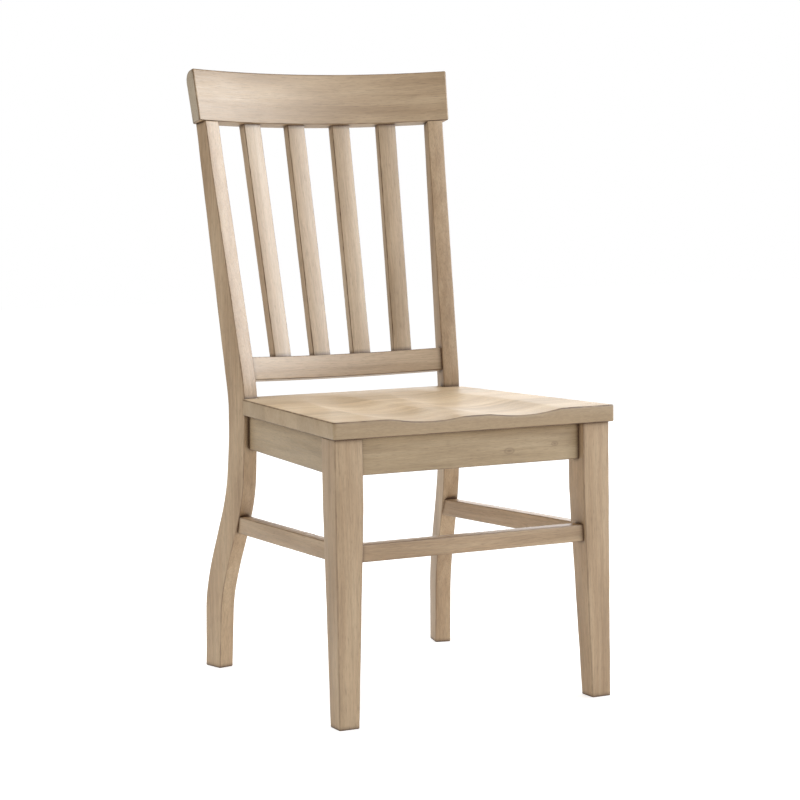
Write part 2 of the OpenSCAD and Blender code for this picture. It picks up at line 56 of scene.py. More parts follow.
SEAT_H = 457.0
SEAT_T = 26.0
SEAT_FRONT_W = 478.0
SEAT_REAR_W = 400.0
SEAT_D = 460.0
SEAT_OVERHANG = 9.0
SEAT_SIDE_OVERHANG = 5.0
SEAT_CORNER_R = 4.0
SCOOP_DEPTH = 9.0
SCOOP_OFFSET = 78.0
SCOOP_REACH = 75.0
HUMP_DEPTH = 3.0

LEG_W = 46.0
FOOT_W = 33.0
LEG_STRAIGHT = 50.0

POST_W = 27.0
POST_FOOT_D = 40.0
POST_KNEE_D = 49.0
POST_WAIST_D = 43.0
POST_SEAT_D = 47.0
POST_TOP_D = 27.0
POST_TURN = math.radians(13.5)
POST_SWEEP = 55.0
POST_LEAN = 0.07
POST_FROM_REAR = 31.0
POST_INSET = 4.5
# Above the seat: where the bend is, how soft it is, and where the hip is
POST_BEND_RISE = 15.0
POST_BEND_SOFTNESS = 12.0
POST_HIP_RISE = 43.0
# The lean starts this far under the seat's top, and the top is cut over its last stretch
POST_LEAN_DROP = 17.0
POST_TOP_CUT = 60.0
# Shares of the seat's height: top and run of the sabre sweep, knee, waist
POST_SWEEP_TOP = 0.71
POST_SWEEP_RUN = 0.51
POST_KNEE = 0.52
POST_WAIST = 0.85

RECLINE = math.radians(11.6)
BACK_R = 823.0
CREST_RISE = 456.0
CREST_H = 86.0
CREST_T = 30.0
CREST_SWELL = 3.0
CREST_ROUND = 17.0
CREST_OVERHANG = 11.0
RAIL_RISE = 26.0
RAIL_H = 38.0
RAIL_T = 26.0
RAIL_SETBACK = 1.0
SLAT_W = 32.0
SLAT_T = 17.0
SLAT_SETBACK = 7.0
SLAT_PITCH_TOP = 83.5
SLAT_PITCH_LOW = 73.5
SLAT_TENON = 12.0

APRON_H = 57.0
APRON_T = 18.0
APRON_SETBACK = 14.0
SIDE_APRON_SETBACK = 13.0
REAR_APRON_SETBACK = 9.0
FRONT_STRETCHER_TOP = 272.0
FRONT_STRETCHER_H = 26.0
FRONT_STRETCHER_T = 24.0
FRONT_STRETCHER_SETBACK = 6.5
STRETCHER_T = 20.0
SIDE_STRETCHER_H = 28.0
SIDE_STRETCHER_FRONT_Z = 257.0
SIDE_STRETCHER_REAR_Z = 247.0
SIDE_STRETCHER_SETBACK = 18.0

NOTCH_GAP = 0.6
# Radii of the notch's corners: at the seat's rear edge, deep inside, at its side edge
NOTCH_RADII = (2.0, 1.5, 3.0)

# Pieces between legs and posts are drawn this long, then stretched to the faces they meet
REAR_RUN = 340.0
SIDE_RUN = 380.0
# Their ends tuck this far into those faces
RAIL_TUCK = 0.3
STRETCHER_TUCK = 0.2
# Arrises of the aprons, and the eased ends of every piece held between two others
APRON_ARRIS = 1.3
HELD_END = 0.2
# Steps in which the crossing of a piece with a face is found
SOLVE_STEPS = 8

# The seat's front edge in the CAD frame says how far the maker's frame is shifted in depth
SHIFT_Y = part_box("seat")[0][1] / MM + SEAT_OVERHANG

UNDER_SEAT = SEAT_H - SEAT_T
APRON_Z = UNDER_SEAT - APRON_H
TAPER_Z = APRON_Z - LEG_STRAIGHT
SEAT_FRONT_Y = -SEAT_OVERHANG
SEAT_REAR_Y = SEAT_FRONT_Y + SEAT_D
LEG_OUT = SEAT_FRONT_W / 2 - SEAT_SIDE_OVERHANG
LEG_IN = LEG_OUT - LEG_W
SIDE_ANGLE = math.atan((SEAT_FRONT_W - SEAT_REAR_W) / 2 / SEAT_D)


def seat_half(y):
    """Half the seat's width, which narrows evenly from front to rear."""
    return (SEAT_FRONT_W + (SEAT_REAR_W - SEAT_FRONT_W) * (y - SEAT_FRONT_Y) / SEAT_D) / 2


def ease(t):
    """Smooth step: 3 t^2 - 2 t^3, held at 0 and 1 outside."""
    c = np.clip(t, 0.0, 1.0)
    return c * c * (3 - 2 * c)


# ---------------------------------------------------------------- rear post's outline

POST_TOP_Z = SEAT_H + CREST_RISE * math.cos(RECLINE)
RAKE = math.tan(RECLINE) / math.cos(POST_TURN)
POST_Y = SEAT_REAR_Y - POST_FROM_REAR
POST_X = -seat_half(POST_Y) + POST_INSET


def post_front(z):
    """Front line of a rear post: a soft bend at the seat, a lean and a sabre sweep below."""
    above = (z - SEAT_H - POST_BEND_RISE) / POST_BEND_SOFTNESS
    upper = RAKE * POST_BEND_SOFTNESS * np.logaddexp(0, above)
    lean = POST_LEAN * np.maximum(0, SEAT_H - POST_LEAN_DROP - z)
    sweep = POST_SWEEP * ease((POST_SWEEP_TOP * SEAT_H - z) / (POST_SWEEP_RUN * SEAT_H))
    return upper + lean + sweep


def post_depth(z):
    """Depth of a rear post: eased between foot, knee, waist and hip, then straight to the top."""
    knee, waist, hip = POST_KNEE * SEAT_H, POST_WAIST * SEAT_H, SEAT_H + POST_HIP_RISE
    low = POST_FOOT_D + (POST_KNEE_D - POST_FOOT_D) * ease(z / knee)
    mid = POST_KNEE_D + (POST_WAIST_D - POST_KNEE_D) * ease((z - knee) / (waist - knee))
    upper = POST_WAIST_D + (POST_SEAT_D - POST_WAIST_D) * ease((z - waist) / (hip - waist))
    top = POST_SEAT_D + (POST_TOP_D - POST_SEAT_D) * (z - hip) / (POST_TOP_Z - hip)
    return np.select([z < knee, z < waist, z < hip], [low, mid, upper], top)


def post_inner_x(y):
    """Where the left post's turned inner face stands at depth y, measured from the middle."""
    across = POST_W - (y - POST_Y) * math.sin(POST_TURN)
    return -(POST_X + across / math.cos(POST_TURN))


def post_point(a, u):
    """Plan position in the left post's plane: across the post by a, back by u."""
    c, s = math.cos(POST_TURN), math.sin(POST_TURN)
    return POST_X + a * c - u * s, POST_Y + a * s + u * c


# ---------------------------------------------------------------- the curved, reclined back

TOP_EDGE = post_point(0.0, float(post_front(POST_TOP_Z)))
BOW_TOP = BACK_R - math.sqrt(BACK_R**2 - TOP_EDGE[0] ** 2)
BACK_Y = TOP_EDGE[1] + BOW_TOP * math.cos(RECLINE) - CREST_RISE * math.sin(RECLINE)
CREST_HALF_LOW = -TOP_EDGE[0] + CREST_OVERHANG
CREST_FAN = CREST_H * math.cos(RECLINE) * RAKE * math.sin(POST_TURN)


def from_back(x, y, z):
    """Back frame to chair frame: tilt by the recline about the seat-level line, then shift."""
    c, s = math.cos(RECLINE), math.sin(RECLINE)
    return x, BACK_Y + y * c + z * s, SEAT_H - y * s + z * c


def on_bow(x, r):
    """Depth in the back frame of a point x across, on a circle of radius r."""
    return np.sqrt(r * r - x * x) - BACK_R


# ---------------------------------------------------------------- making meshes

random = np.random.default_rng(20)

# Stations stand this far apart along a piece, unless it curves and asks for closer ones
STATION_STEP = 9.0
# Two more stations this far inside each end carry the glaze and painted shade in the corner of a
# joint
NEAR_END = np.array([1.5, 4.0])
# Steps round an eased end, and round an arris
END_STEPS = 3
ARRIS_STEPS = 4
# Glaze thins out on rounds wider than this
GLAZED_ROUND = 2.5
# The glaze and painted shade in a joint: its strength in the corner, and how far it reaches
JOINT_GLAZE_AND_SHADE = 0.8
JOINT_REACH = 5.0
# A sanded arris wanders by this share of its radius, in waves that turn one radian over
# these lengths and start anywhere in a turn
SANDING = 0.22
SANDING_WAVES = (37.0, 13.0)
TURN = 6.28
# Each piece is cut from a random place within this many metres of the log's middle
LOG = 3


def volume(points, faces):
    """Volume of a closed surface by the divergence theorem: negative when it faces inwards.

    Each face is cut into triangles p, q, r from its first corner; each gives a sixth of
    p . (q x r).
    """
    total = 0.0
    for group in faces:
        for k in range(1, group.shape[1] - 1):
            p, q, r = points[group[:, 0]], points[group[:, k]], points[group[:, k + 1]]
            total += float(np.einsum("ij,ij->", p, np.cross(q, r))) / 6
    return total


def make_mesh(name, points, faces, attributes):
    """Puts millimetre points into a mesh in the CAD frame, facing outwards, on the body root.

    faces is a list of index arrays, quads and triangles apart; attributes holds one value or
    vector a point.
    """
    shifted = (points + np.array([0.0, SHIFT_Y, 0.0])) * MM
    if volume(shifted, faces) < 0:
        faces = [group[:, ::-1] for group in faces]
    mesh = bpy.data.meshes.new(name)
    mesh.from_pydata(shifted.tolist(), [], sum([group.tolist() for group in faces], []))
    for label, values in attributes.items():
        kind, field = ("FLOAT_VECTOR", "vector") if values.ndim == 2 else ("FLOAT", "value")
        layer = mesh.attributes.new(label, kind, "POINT")
        layer.data.foreach_set(field, np.ascontiguousarray(values, np.float32).ravel())
    mesh.update()
    mesh.shade_smooth()
    piece = bpy.data.objects.new(name, mesh)
    bpy.context.scene.collection.objects.link(piece)
    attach(piece, "root")
    return piece


def eased_stations(length, ease_r, step):
    """Stations along a piece and how far each end pulls in: a quarter circle at both ends."""
    arc = np.linspace(0, np.pi / 2, END_STEPS + 1)
    run = ease_r * (1 - np.cos(arc))
    inset = ease_r * (1 - np.sin(arc))
    count = max(2, int(round((length - 2 * ease_r) / step)))
    middle = np.linspace(ease_r, length - ease_r, count + 1)[1:-1]
    near = ease_r + NEAR_END
    clear = (middle > near[1] + 1) & (middle < length - near[1] - 1)
    middle = np.concatenate([near, middle[clear], length - near[::-1]])
    stations = np.concatenate([run, middle, length - run[::-1]])
    pulled_in = np.concatenate([inset, np.zeros(len(middle)), inset[::-1]])
    return stations, pulled_in


def section(lo_a, hi_a, lo_b, hi_b, radii):
    """A rectangle with rounded corners at every station.

    Each corner is a quarter circle about the point one radius in from both sides; radii has
    one value, or one per station, for the corners (low a, low b), (high a, low b),
    (high a, high b) and (low a, high b). Gives a, b and how much glaze each point holds: 1 in
    the middle of a small round, 0 on a face.
    """
    arc = np.linspace(0, np.pi / 2, ARRIS_STEPS + 1)
    a_rows, b_rows, arris = [], [], []
    corners = [(lo_a, lo_b, 1, 1, np.pi), (hi_a, lo_b, -1, 1, 1.5 * np.pi),
               (hi_a, hi_b, -1, -1, 0.0), (lo_a, hi_b, 1, -1, 0.5 * np.pi)]
    for (a, b, in_a, in_b, start), r in zip(corners, radii):
        r = np.broadcast_to(r, a.shape)[:, None]
        a_rows.append(a[:, None] + in_a * r + r * np.cos(start + arc))
        b_rows.append(b[:, None] + in_b * r + r * np.sin(start + arc))
        arris.append(np.sin(2 * arc) * min(1.0, GLAZED_ROUND / float(r.max())) ** 2)
    return np.hstack(a_rows), np.hstack(b_rows), np.concatenate(arris)


def skin_faces(rows, ring):
    """Quads between neighbouring rings, and a fan of triangles over each end.

    The middles of the two ends are the last two points, after rows * ring.
    """
    i = np.arange(rows - 1)[:, None] * ring
    j = np.arange(ring)[None, :]
    k = (j + 1) % ring
    quads = np.stack([i + j, i + k, i + ring + k, i + ring + j], axis=-1).reshape(-1, 4)
    low_middle, high_middle = rows * ring, rows * ring + 1
    j, k = j[0], k[0]
    top = (rows - 1) * ring
    low = np.stack([np.full(ring, low_middle), k, j], axis=-1)
    high = np.stack([np.full(ring, high_middle), top + j, top + k], axis=-1)
    return [quads, np.vstack([low, high])]


def with_middles(values):
    """Flattens rows x ring vectors and adds the middles of the first and the last ring."""
    return np.vstack([values.reshape(-1, 3), values[[0, -1]].mean(axis=1)])


def carried(name, length, extents, place, arris_r=1.6, end_r=1.4, radii=None,
            step=STATION_STEP, joint=None, start=None):
    """A rounded-rectangle section carried along a piece.

    extents(s) gives low a, high a, low b, high b at the stations s; place(a, b, s) gives the
    chair-frame x, y, z. Unless radii says otherwise, the arris radius wanders a little along
    the piece, as hand sanding leaves it. joint is how far in from each end the piece meets its
    neighbours, or None where its ends stand free. The grain attribute holds (along, across,
    through) in metres, from start or a random place in the log, so that no two pieces share
    their figure.
    """
    s, pulled_in = eased_stations(length, end_r, step)
    lo_a, hi_a, lo_b, hi_b = [np.broadcast_to(e, s.shape).astype(float) for e in extents(s)]
    if radii is None:
        long_wave, short_wave = SANDING_WAVES
        radii = [arris_r * (1 + SANDING * np.sin(s / long_wave + p)
                            * np.sin(s / short_wave + 2 * p))
                 for p in random.uniform(0, TURN, 4)]
    a, b, arris = section(lo_a + pulled_in, hi_a - pulled_in, lo_b + pulled_in,
                          hi_b - pulled_in, radii)
    along = np.broadcast_to(s[:, None], a.shape)
    if start is None:
        start = random.uniform(-LOG, LOG, 3)
    points = with_middles(np.stack(place(a, b, along), axis=-1))
    grain = with_middles(np.stack([along, a, b], axis=-1) * MM) + start

    # 1 where an end is cut, 0 along the piece; its eased edge holds glaze halfway round
    end = np.broadcast_to((pulled_in / end_r)[:, None], a.shape)
    glaze_and_shade = np.maximum(arris[None, :], np.sin(np.pi * end) ** 2)
    # Near a joint the piece darkens towards the corner it makes with its neighbour: glaze, and
    # painted shade where the pieces meet
    if joint is not None:
        clear = np.minimum(s, length - s) - joint
        corner = JOINT_GLAZE_AND_SHADE * np.clip(1 - clear / JOINT_REACH, 0, 1)
        glaze_and_shade = np.maximum(glaze_and_shade, corner[:, None])
    on_end = np.append((end > 0.9).ravel().astype(float), [1.0, 1.0])
    return make_mesh(name, points, skin_faces(*a.shape),
                     {"grain": grain, "arris": np.append(glaze_and_shade.ravel(), [0.0, 0.0]),
                      "end_grain": on_end})


def mirrored(place):
    """The right-hand twin of a left-hand placing: x changes sign."""
    def other(a, b, s):
        x, y, z = place(a, b, s)
        return -x, y, z
    return other


def bar_extents(wide, deep):
    """Extents of a plain bar."""
    return lambda s: (0, wide, 0, deep)


# ---------------------------------------------------------------- washed-wood finishes

# Settings that many nodes share: blend two colours, tint one by another, multiply
BLEND = {"data_type": "RGBA", "blend_type": "MIX"}
TINT = {"data_type": "RGBA", "blend_type": "MULTIPLY", 0: 1.0}
TIMES = {"operation": "MULTIPLY"}

# Brown glaze left on the arrises; the same brown is painted shade in the joints and in every
# corner where pieces meet
GLAZE_AND_SHADE = "#553B25"
# Painted shade reaches this far out from the corner where pieces meet
PAINTED_SHADE_REACH_MM = 8.0
# Full height of the brushed relief, of which about a third shows
RELIEF_MM = 0.35


def linear(hex_colour):
    """sRGB hex to a linear RGBA tuple."""
    values = [int(hex_colour[i:i + 2], 16) / 255 for i in (1, 3, 5)]
    return tuple(v / 12.92 if v <= 0.04045 else ((v + 0.055) / 1.055) ** 2.4
                 for v in values) + (1.0,)


def add(tree, kind, settings=None, links=None, stops=()):
    """Adds a shader node and returns it.

    settings are the node's own properties and its inputs' values, links are the sockets that
    feed its inputs, each input by its name or number. stops are a colour ramp's pairs of a
    place and a colour or grey value.
    """
    node = tree.nodes.new(kind)
    for key, value in (settings or {}).items():
        if isinstance(key, str) and hasattr(node, key):
            setattr(node, key, value)
        else:
            node.inputs[key].default_value = value
    for key, source in (links or {}).items():
        tree.links.new(source, node.inputs[key])
    for number, (place, colour) in enumerate(stops):
        elements = node.color_ramp.elements
        if number >= len(elements):
            elements.new(1.0)
        elements[number].position = place
        elements[number].color = colour if isinstance(colour, tuple) else (colour,) * 3 + (1.0,)
    return node


def new_material(name):
    """A material with its node tree and its main shader."""
    material = bpy.data.materials.new(name)
    material.use_nodes = True
    return material, material.node_tree, material.node_tree.nodes["Principled BSDF"]


def grain_noise(tree, grain, along_mm, across_mm, detail, roughness=0.55, distortion=0.0):
    """Wood-like noise, 0 to 1, whose marks are along_mm long and across_mm wide."""
    scale = (1 / (along_mm * MM), 1 / (across_mm * MM), 1 / (across_mm * MM))
    place = add(tree, "ShaderNodeMapping", {"Scale": scale}, {"Vector": grain})
    return add(tree, "ShaderNodeTexNoise",
               {"Scale": 1.0, "Detail": detail, "Roughness": roughness,
                "Distortion": distortion}, {"Vector": place.outputs[0]}).outputs["Fac"]


def figured(tree, grain, bent, light, body, dark, ring_mm, figure):
    """The stain on the figure: cloudy tone along the board, crossed by the growth rings."""
    tone = grain_noise(tree, grain, 260, 38, 2.0, 0.5)
    rings = grain_noise(tree, bent, 300, ring_mm, 3.0, 0.6, 0.3)
    clouds = add(tree, "ShaderNodeValToRGB", links={0: tone},
                 stops=[(0.28, linear(dark)), (0.5, linear(body)), (0.72, linear(light))])
    ringed = add(tree, "ShaderNodeValToRGB", links={0: rings},
                 stops=[(0.30, linear(dark)), (0.48, linear(body)), (0.70, linear(light))])
    return add(tree, "ShaderNodeMix", {**BLEND, 0: figure},
               {6: clouds.outputs[0], 7: ringed.outputs[0]}).outputs[2]


def brushed(tree, colour, streaks, fibres):
    """The wash lies paler in the brushed streaks, and in the fine fibres between them."""
    streaked = add(tree, "ShaderNodeValToRGB", links={0: streaks},
                   stops=[(0.30, 0.88), (0.5, 0.98), (0.70, 1.05)])
    colour = add(tree, "ShaderNodeMix", TINT, {6: colour, 7: streaked.outputs[0]})
    fibrous = add(tree, "ShaderNodeValToRGB", links={0: fibres},
                  stops=[(0.3, 0.82), (0.55, 1.0), (0.75, 1.09)])
    return add(tree, "ShaderNodeMix", {**TINT, 0: 0.8},
               {6: colour.outputs[2], 7: fibrous.outputs[0]}).outputs[2]


def glued_boards(tree, colour, grain, board_mm):
    """Boards glued edge to edge: each takes the stain a little differently."""
    across = add(tree, "ShaderNodeSeparateXYZ", links={0: grain})
    count = add(tree, "ShaderNodeMath", {"operation": "DIVIDE", 1: board_mm * MM},
                {0: across.outputs[1]})
    number = add(tree, "ShaderNodeMath", {"operation": "FLOOR"}, {0: count.outputs[0]})
    chance = add(tree, "ShaderNodeTexWhiteNoise", {"noise_dimensions": "1D"},
                 {"W": number.outputs[0]})
    shade = add(tree, "ShaderNodeValToRGB", links={0: chance.outputs["Value"]},
                stops=[(0.0, 0.90), (1.0, 1.06)])
    return add(tree, "ShaderNodeMix", TINT, {6: colour, 7: shade.outputs[0]}).outputs[2]


def pin_knot(tree, colour, grain, where, size_mm, pore):
    """A pin knot: a dark heart in a thin ring, longer along the grain than across it."""
    here = add(tree, "ShaderNodeVectorMath", {"operation": "SUBTRACT", 1: where}, {0: grain})
    drawn_out = add(tree, "ShaderNodeVectorMath",
                    {"operation": "MULTIPLY", 1: (0.55, 1.0, 0.25)}, {0: here.outputs[0]})
    reach = add(tree, "ShaderNodeVectorMath", {"operation": "LENGTH"},
                {0: drawn_out.outputs[0]})
    nearness = add(tree, "ShaderNodeMapRange", {1: 0.0, 2: size_mm * MM, 3: 1.0, 4: 0.0},
                   {0: reach.outputs["Value"]})
    heart = add(tree, "ShaderNodeValToRGB", links={0: nearness.outputs[0]},
                stops=[(0.0, 0.0), (0.3, 0.4), (0.5, 0.12), (0.85, 0.5)])
    return add(tree, "ShaderNodeMix", {**BLEND, 7: linear(pore)},
               {0: heart.outputs[0], 6: colour}).outputs[2]


def glazed_and_shaded(tree, colour, grain, arris, glaze_and_shade_strength):
    """Brown glaze on the arrises, rubbed through here and there, and painted shade in the joints,
    along the seat's lower edge and, by ambient occlusion, in every corner where pieces meet.
    """
    rubbed = add(tree, "ShaderNodeValToRGB", links={0: grain_noise(tree, grain, 30, 12, 2.0)},
                 stops=[(0.38, 0.5), (0.55, 1.0)])
    # The arris attribute brings glaze on the arrises, and painted shade in the joints and along
    # the seat's lower edge
    edge = add(tree, "ShaderNodeMath", TIMES, {0: arris, 1: rubbed.outputs[0]})
    edge = add(tree, "ShaderNodeMath", {**TIMES, 1: glaze_and_shade_strength}, {0: edge.outputs[0]})
    colour = add(tree, "ShaderNodeMix", {**BLEND, 7: linear(GLAZE_AND_SHADE)},
                 {0: edge.outputs[0], 6: colour}).outputs[2]
    # Painted shade: ambient occlusion darkens the wood with the brown within a few millimetres of
    # each corner where pieces meet
    corner_occlusion = add(tree, "ShaderNodeAmbientOcclusion",
                  {"samples": 6, "Distance": PAINTED_SHADE_REACH_MM * MM})
    corner = add(tree, "ShaderNodeValToRGB", links={0: corner_occlusion.outputs["AO"]},
                 stops=[(0.50, 0.95), (0.90, 0.0)])
    return add(tree, "ShaderNodeMix", {**BLEND, 7: linear(GLAZE_AND_SHADE)},
               {0: corner.outputs[0], 6: colour}).outputs[2]


def washed_wood(name, light, body, dark, pore, end, knots=(), board_mm=None,
                roughness=0.44, ring_mm=7.0, figure=0.38, glaze_and_shade_strength=0.9):
    """Hardwood, planed, wire-brushed, washed with a pale stain and given a matte lacquer.

    The brush opens the soft rings, the wash lies pale in them, and a brown glaze stays in
    the pores and on the arrises; the same brown is painted shade in the joints and in every
    corner where pieces meet. The grain attribute holds (along, across, through) in metres,
    and each mark's size is given in millimetres. The pores of the real wood are finer than
    the view can show, so they are drawn 1 mm wide.
    """
    material, tree, shader = new_material(name)
    grain, arris, end_grain = [
        add(tree, "ShaderNodeAttribute", {"attribute_name": label}).outputs[socket]
        for label, socket in (("grain", "Vector"), ("arris", "Fac"), ("end_grain", "Fac"))]

    # Slow drift of the log, 30 mm from side to side, bends the rings
    drift = add(tree, "ShaderNodeMath", {**TIMES, 1: 30 * MM},
                {0: grain_noise(tree, grain, 420, 60, 2.0)})
    aside = add(tree, "ShaderNodeCombineXYZ", links={1: drift.outputs[0]})
    bent = add(tree, "ShaderNodeVectorMath", {"operation": "ADD"},
               {0: grain, 1: aside.outputs[0]}).outputs[0]
    streaks = grain_noise(tree, bent, 75, 1.8, 3.0, 0.6, 0.1)
    fibres = grain_noise(tree, grain, 20, 0.9, 2.0, 0.6)

    colour = figured(tree, grain, bent, light, body, dark, ring_mm, figure)
    colour = brushed(tree, colour, streaks, fibres)
    porous = add(tree, "ShaderNodeValToRGB",
                 links={0: grain_noise(tree, grain, 13, 1.0, 1.0, 0.5)},
                 stops=[(0.60, 0.0), (0.70, 1.0)])
    pores = add(tree, "ShaderNodeMath", {**TIMES, 1: 0.30}, {0: porous.outputs[0]}).outputs[0]
    colour = add(tree, "ShaderNodeMix", {**BLEND, 7: linear(pore)},
                 {0: pores, 6: colour}).outputs[2]
    if board_mm:
        colour = glued_boards(tree, colour, grain, board_mm)
    for where, size_mm in knots:
        colour = pin_knot(tree, colour, grain, where, size_mm, pore)

    # End grain drinks the stain: an even, speckled tone with no long streaks
    speckled = add(tree, "ShaderNodeValToRGB",
                   links={0: grain_noise(tree, grain, 6.0, 1.6, 3.0)},
                   stops=[(0.2, linear(end)), (0.95, linear(dark))])
    end_share = add(tree, "ShaderNodeMath", {**TIMES, 1: 0.85}, {0: end_grain})
    colour = add(tree, "ShaderNodeMix", BLEND, {0: end_share.outputs[0], 6: colour,
                                                7: speckled.outputs[0]}).outputs[2]
    colour = glazed_and_shaded(tree, colour, grain, arris, glaze_and_shade_strength)
    tree.links.new(colour, shader.inputs["Base Color"])

    # A matte lacquer over the stain: soft gloss, duller on the raised streaks
    for label, value in (("IOR", 1.52), ("Coat Weight", 0.3), ("Coat Roughness", 0.36)):
        shader.inputs[label].default_value = value
    dullness = add(tree, "ShaderNodeMapRange",
                   {1: 0.3, 2: 0.75, 3: roughness - 0.07, 4: roughness + 0.12}, {0: streaks})
    tree.links.new(dullness.outputs[0], shader.inputs["Roughness"])

    # Brushed relief: streaks and fibres stand proud, the pores are cut into them
    height = add(tree, "ShaderNodeMath", {"operation": "MULTIPLY_ADD", 1: 0.6},
                 {0: fibres, 2: streaks})
    height = add(tree, "ShaderNodeMath", {"operation": "SUBTRACT"},
                 {0: height.outputs[0], 1: pores})
    relief = add(tree, "ShaderNodeBump", {"Strength": 0.35, "Distance": RELIEF_MM * MM},
                 {"Height": height.outputs[0]})
    tree.links.new(relief.outputs[0], shader.inputs["Normal"])
    return material


# One washed wood for each cut of the chair: colours are light, body, dark, pore and end grain
FRAME_WOOD = washed_wood("washed_hardwood_frame", "#CBB291", "#B89B7A", "#9D8060",
                         "#6B543D", "#85735D", glaze_and_shade_strength=0.5)
BACK_WOOD = washed_wood("washed_hardwood_back", "#D1BB9D", "#C0A687", "#A58B6B",
                        "#6B5640", "#B8AA92", ring_mm=5.0)
SEAT_WOOD = washed_wood("washed_hardwood_seat_boards", "#D9C3A2", "#CAB08D", "#B09571",
                        "#6F573F", "#8C7252", board_mm=76.0, roughness=0.54)
APRON_WOOD = washed_wood("washed_hardwood_apron", "#C6AF8D", "#B19977", "#977D5C",
                         "#6E543B", "#8F7B62", ring_mm=8.0)
KNOTTY_WOOD = washed_wood("washed_hardwood_apron_with_pin_knots", "#C8B291", "#B49C7A",
                          "#9A8160", "#6E563E", "#85735D", ring_mm=9.0,
                          knots=(((0.253, 0.020, 0.0), 6.0), ((0.333, 0.026, 0.0), 4.0)))
CREST_WOOD = washed_wood("washed_hardwood_crest", "#C2A988", "#B09574", "#987C5B",
                         "#6B5640", "#CFC5B0", ring_mm=6.0, figure=0.22)


def give(piece, material, node):
    """Gives a piece its material and hides the CAD node that it stands for."""
    piece.data.materials.append(material)
    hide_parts(node)


def wooden(node, material, length, extents, place, **cut):
    """The look of one CAD node: a carried section in its own wood."""
    give(carried(f"{node}_look", length, extents, place, **cut), material, node)


def wooden_pair(node, material, length, extents, place, **cut):
    """A left-hand piece and its right-hand twin; node leaves a place for the side."""
    wooden(node.format("left"), material, length, extents, place, **cut)
    wooden(node.format("right"), material, length, extents, mirrored(place), **cut)


# ---------------------------------------------------------------- front legs


def leg_side(z):
    """Side of the square leg: straight above the taper, then narrowing evenly to the foot."""
    return np.where(z > TAPER_Z, LEG_W, FOOT_W + (LEG_W - FOOT_W) * z / TAPER_Z)


def leg_place(a, b, s):
    """Left front leg: a runs inwards from the outer face, b back from the front face."""
    return a - LEG_OUT, b, s


def leg_extents(z):
    """The leg is square all the way down."""
    return 0, leg_side(z), 0, leg_side(z)


wooden_pair("front_{}_leg", FRAME_WOOD, UNDER_SEAT, leg_extents, leg_place, arris_r=2.4)

# ---------------------------------------------------------------- rear posts


def post_place(a, b, s):
    """Left rear post: b is the depth in its own plane; the top follows the crest's underside."""
    x, y = post_point(a, b)
    plane = SEAT_H + (CREST_RISE - (y - BACK_Y) * math.sin(RECLINE)) / math.cos(RECLINE)
    lift = ease((s - POST_TOP_Z + POST_TOP_CUT) / POST_TOP_CUT)
    return x, y, s + lift * (plane - POST_TOP_Z)


def post_extents(z):
    """The post keeps its width; its front line and its depth change with the height."""
    return 0, POST_W, post_front(z), post_front(z) + post_depth(z)


wooden_pair("rear_{}_post", FRAME_WOOD, POST_TOP_Z, post_extents, post_place, step=7.0)

# ---------------------------------------------------------------- crest and back rail


def crest_place(a, b, s):
    """Crest: s runs along the arc, a up the back, b through the thickness.

    The half width grows evenly up the crest, and the thickness swells evenly to the start
    of the rounded top back edge.
    """
    half = CREST_HALF_LOW + CREST_FAN * a / CREST_H
    x = (s / CREST_HALF_LOW - 1) * half
    thick = 1 + CREST_SWELL / CREST_T * np.minimum(1, a / (CREST_H - CREST_ROUND))
    y = on_bow(x, BACK_R + b * thick)
    return from_back(x, y, CREST_RISE + a)


# Rounds of the crest's edges: low front, top front, the wide one at the top back, low back
CREST_RADII = (1.6, 2.2, 0.9 * CREST_ROUND, 1.8)

wooden("crest_rail", CREST_WOOD, 2 * CREST_HALF_LOW, bar_extents(CREST_H, CREST_T),
       crest_place, radii=CREST_RADII, end_r=2.2)


def rail_place(a, b, s):
    """Back rail: follows the back's curve from post to post.

    Its ends are found by stepping x until the point lies on the post's inner face.
    """
    r = BACK_R + RAIL_SETBACK + b
    height = RAIL_RISE + a
    half = np.full(a.shape, REAR_RUN / 2)
    for _ in range(SOLVE_STEPS):
        _, y, _ = from_back(half, on_bow(half, r), height)
        half = post_inner_x(y) + RAIL_TUCK
    x = (2 * s / REAR_RUN - 1) * half
    return from_back(x, on_bow(x, r), height)


wooden("back_rail", BACK_WOOD, REAR_RUN, bar_extents(RAIL_H, RAIL_T), rail_place,
       end_r=HELD_END, joint=0.0)

# ---------------------------------------------------------------- slats

SLATS = 4
SLAT_LOW = RAIL_RISE + RAIL_H - SLAT_TENON
SLAT_HIGH = CREST_RISE + SLAT_TENON
SLAT_R = BACK_R + SLAT_SETBACK


def turned(axis, angle):
    """Rotation matrix about one axis, angle in radians."""
    return np.array(Matrix.Rotation(angle, 3, axis))


def slat_placing(low_x, high_x):
    """Length and placing of a slat: a straight bar set on the curve of the back.

    It runs from low_x inside the rail to high_x inside the crest. Its broad face turns with
    the curve: by the angle whose sine is its middle x over the curve's radius.
    """
    low = np.array([low_x, float(on_bow(low_x, SLAT_R)), SLAT_LOW])
    high = np.array([high_x, float(on_bow(high_x, SLAT_R)), SLAT_HIGH])
    run = high - low
    length = float(np.linalg.norm(run))
    turn = -math.asin((low_x + high_x) / 2 / SLAT_R)
    aside = math.asin(run[0] / length)
    back = -math.atan2(run[1], run[2])
    spin = turned("X", back) @ turned("Y", aside) @ turned("Z", turn)

    def place(a, b, s):
        local = np.stack([a - SLAT_W / 2, b, s], axis=-1) @ spin.T + low
        return from_back(local[..., 0], local[..., 1], local[..., 2])
    return length, place


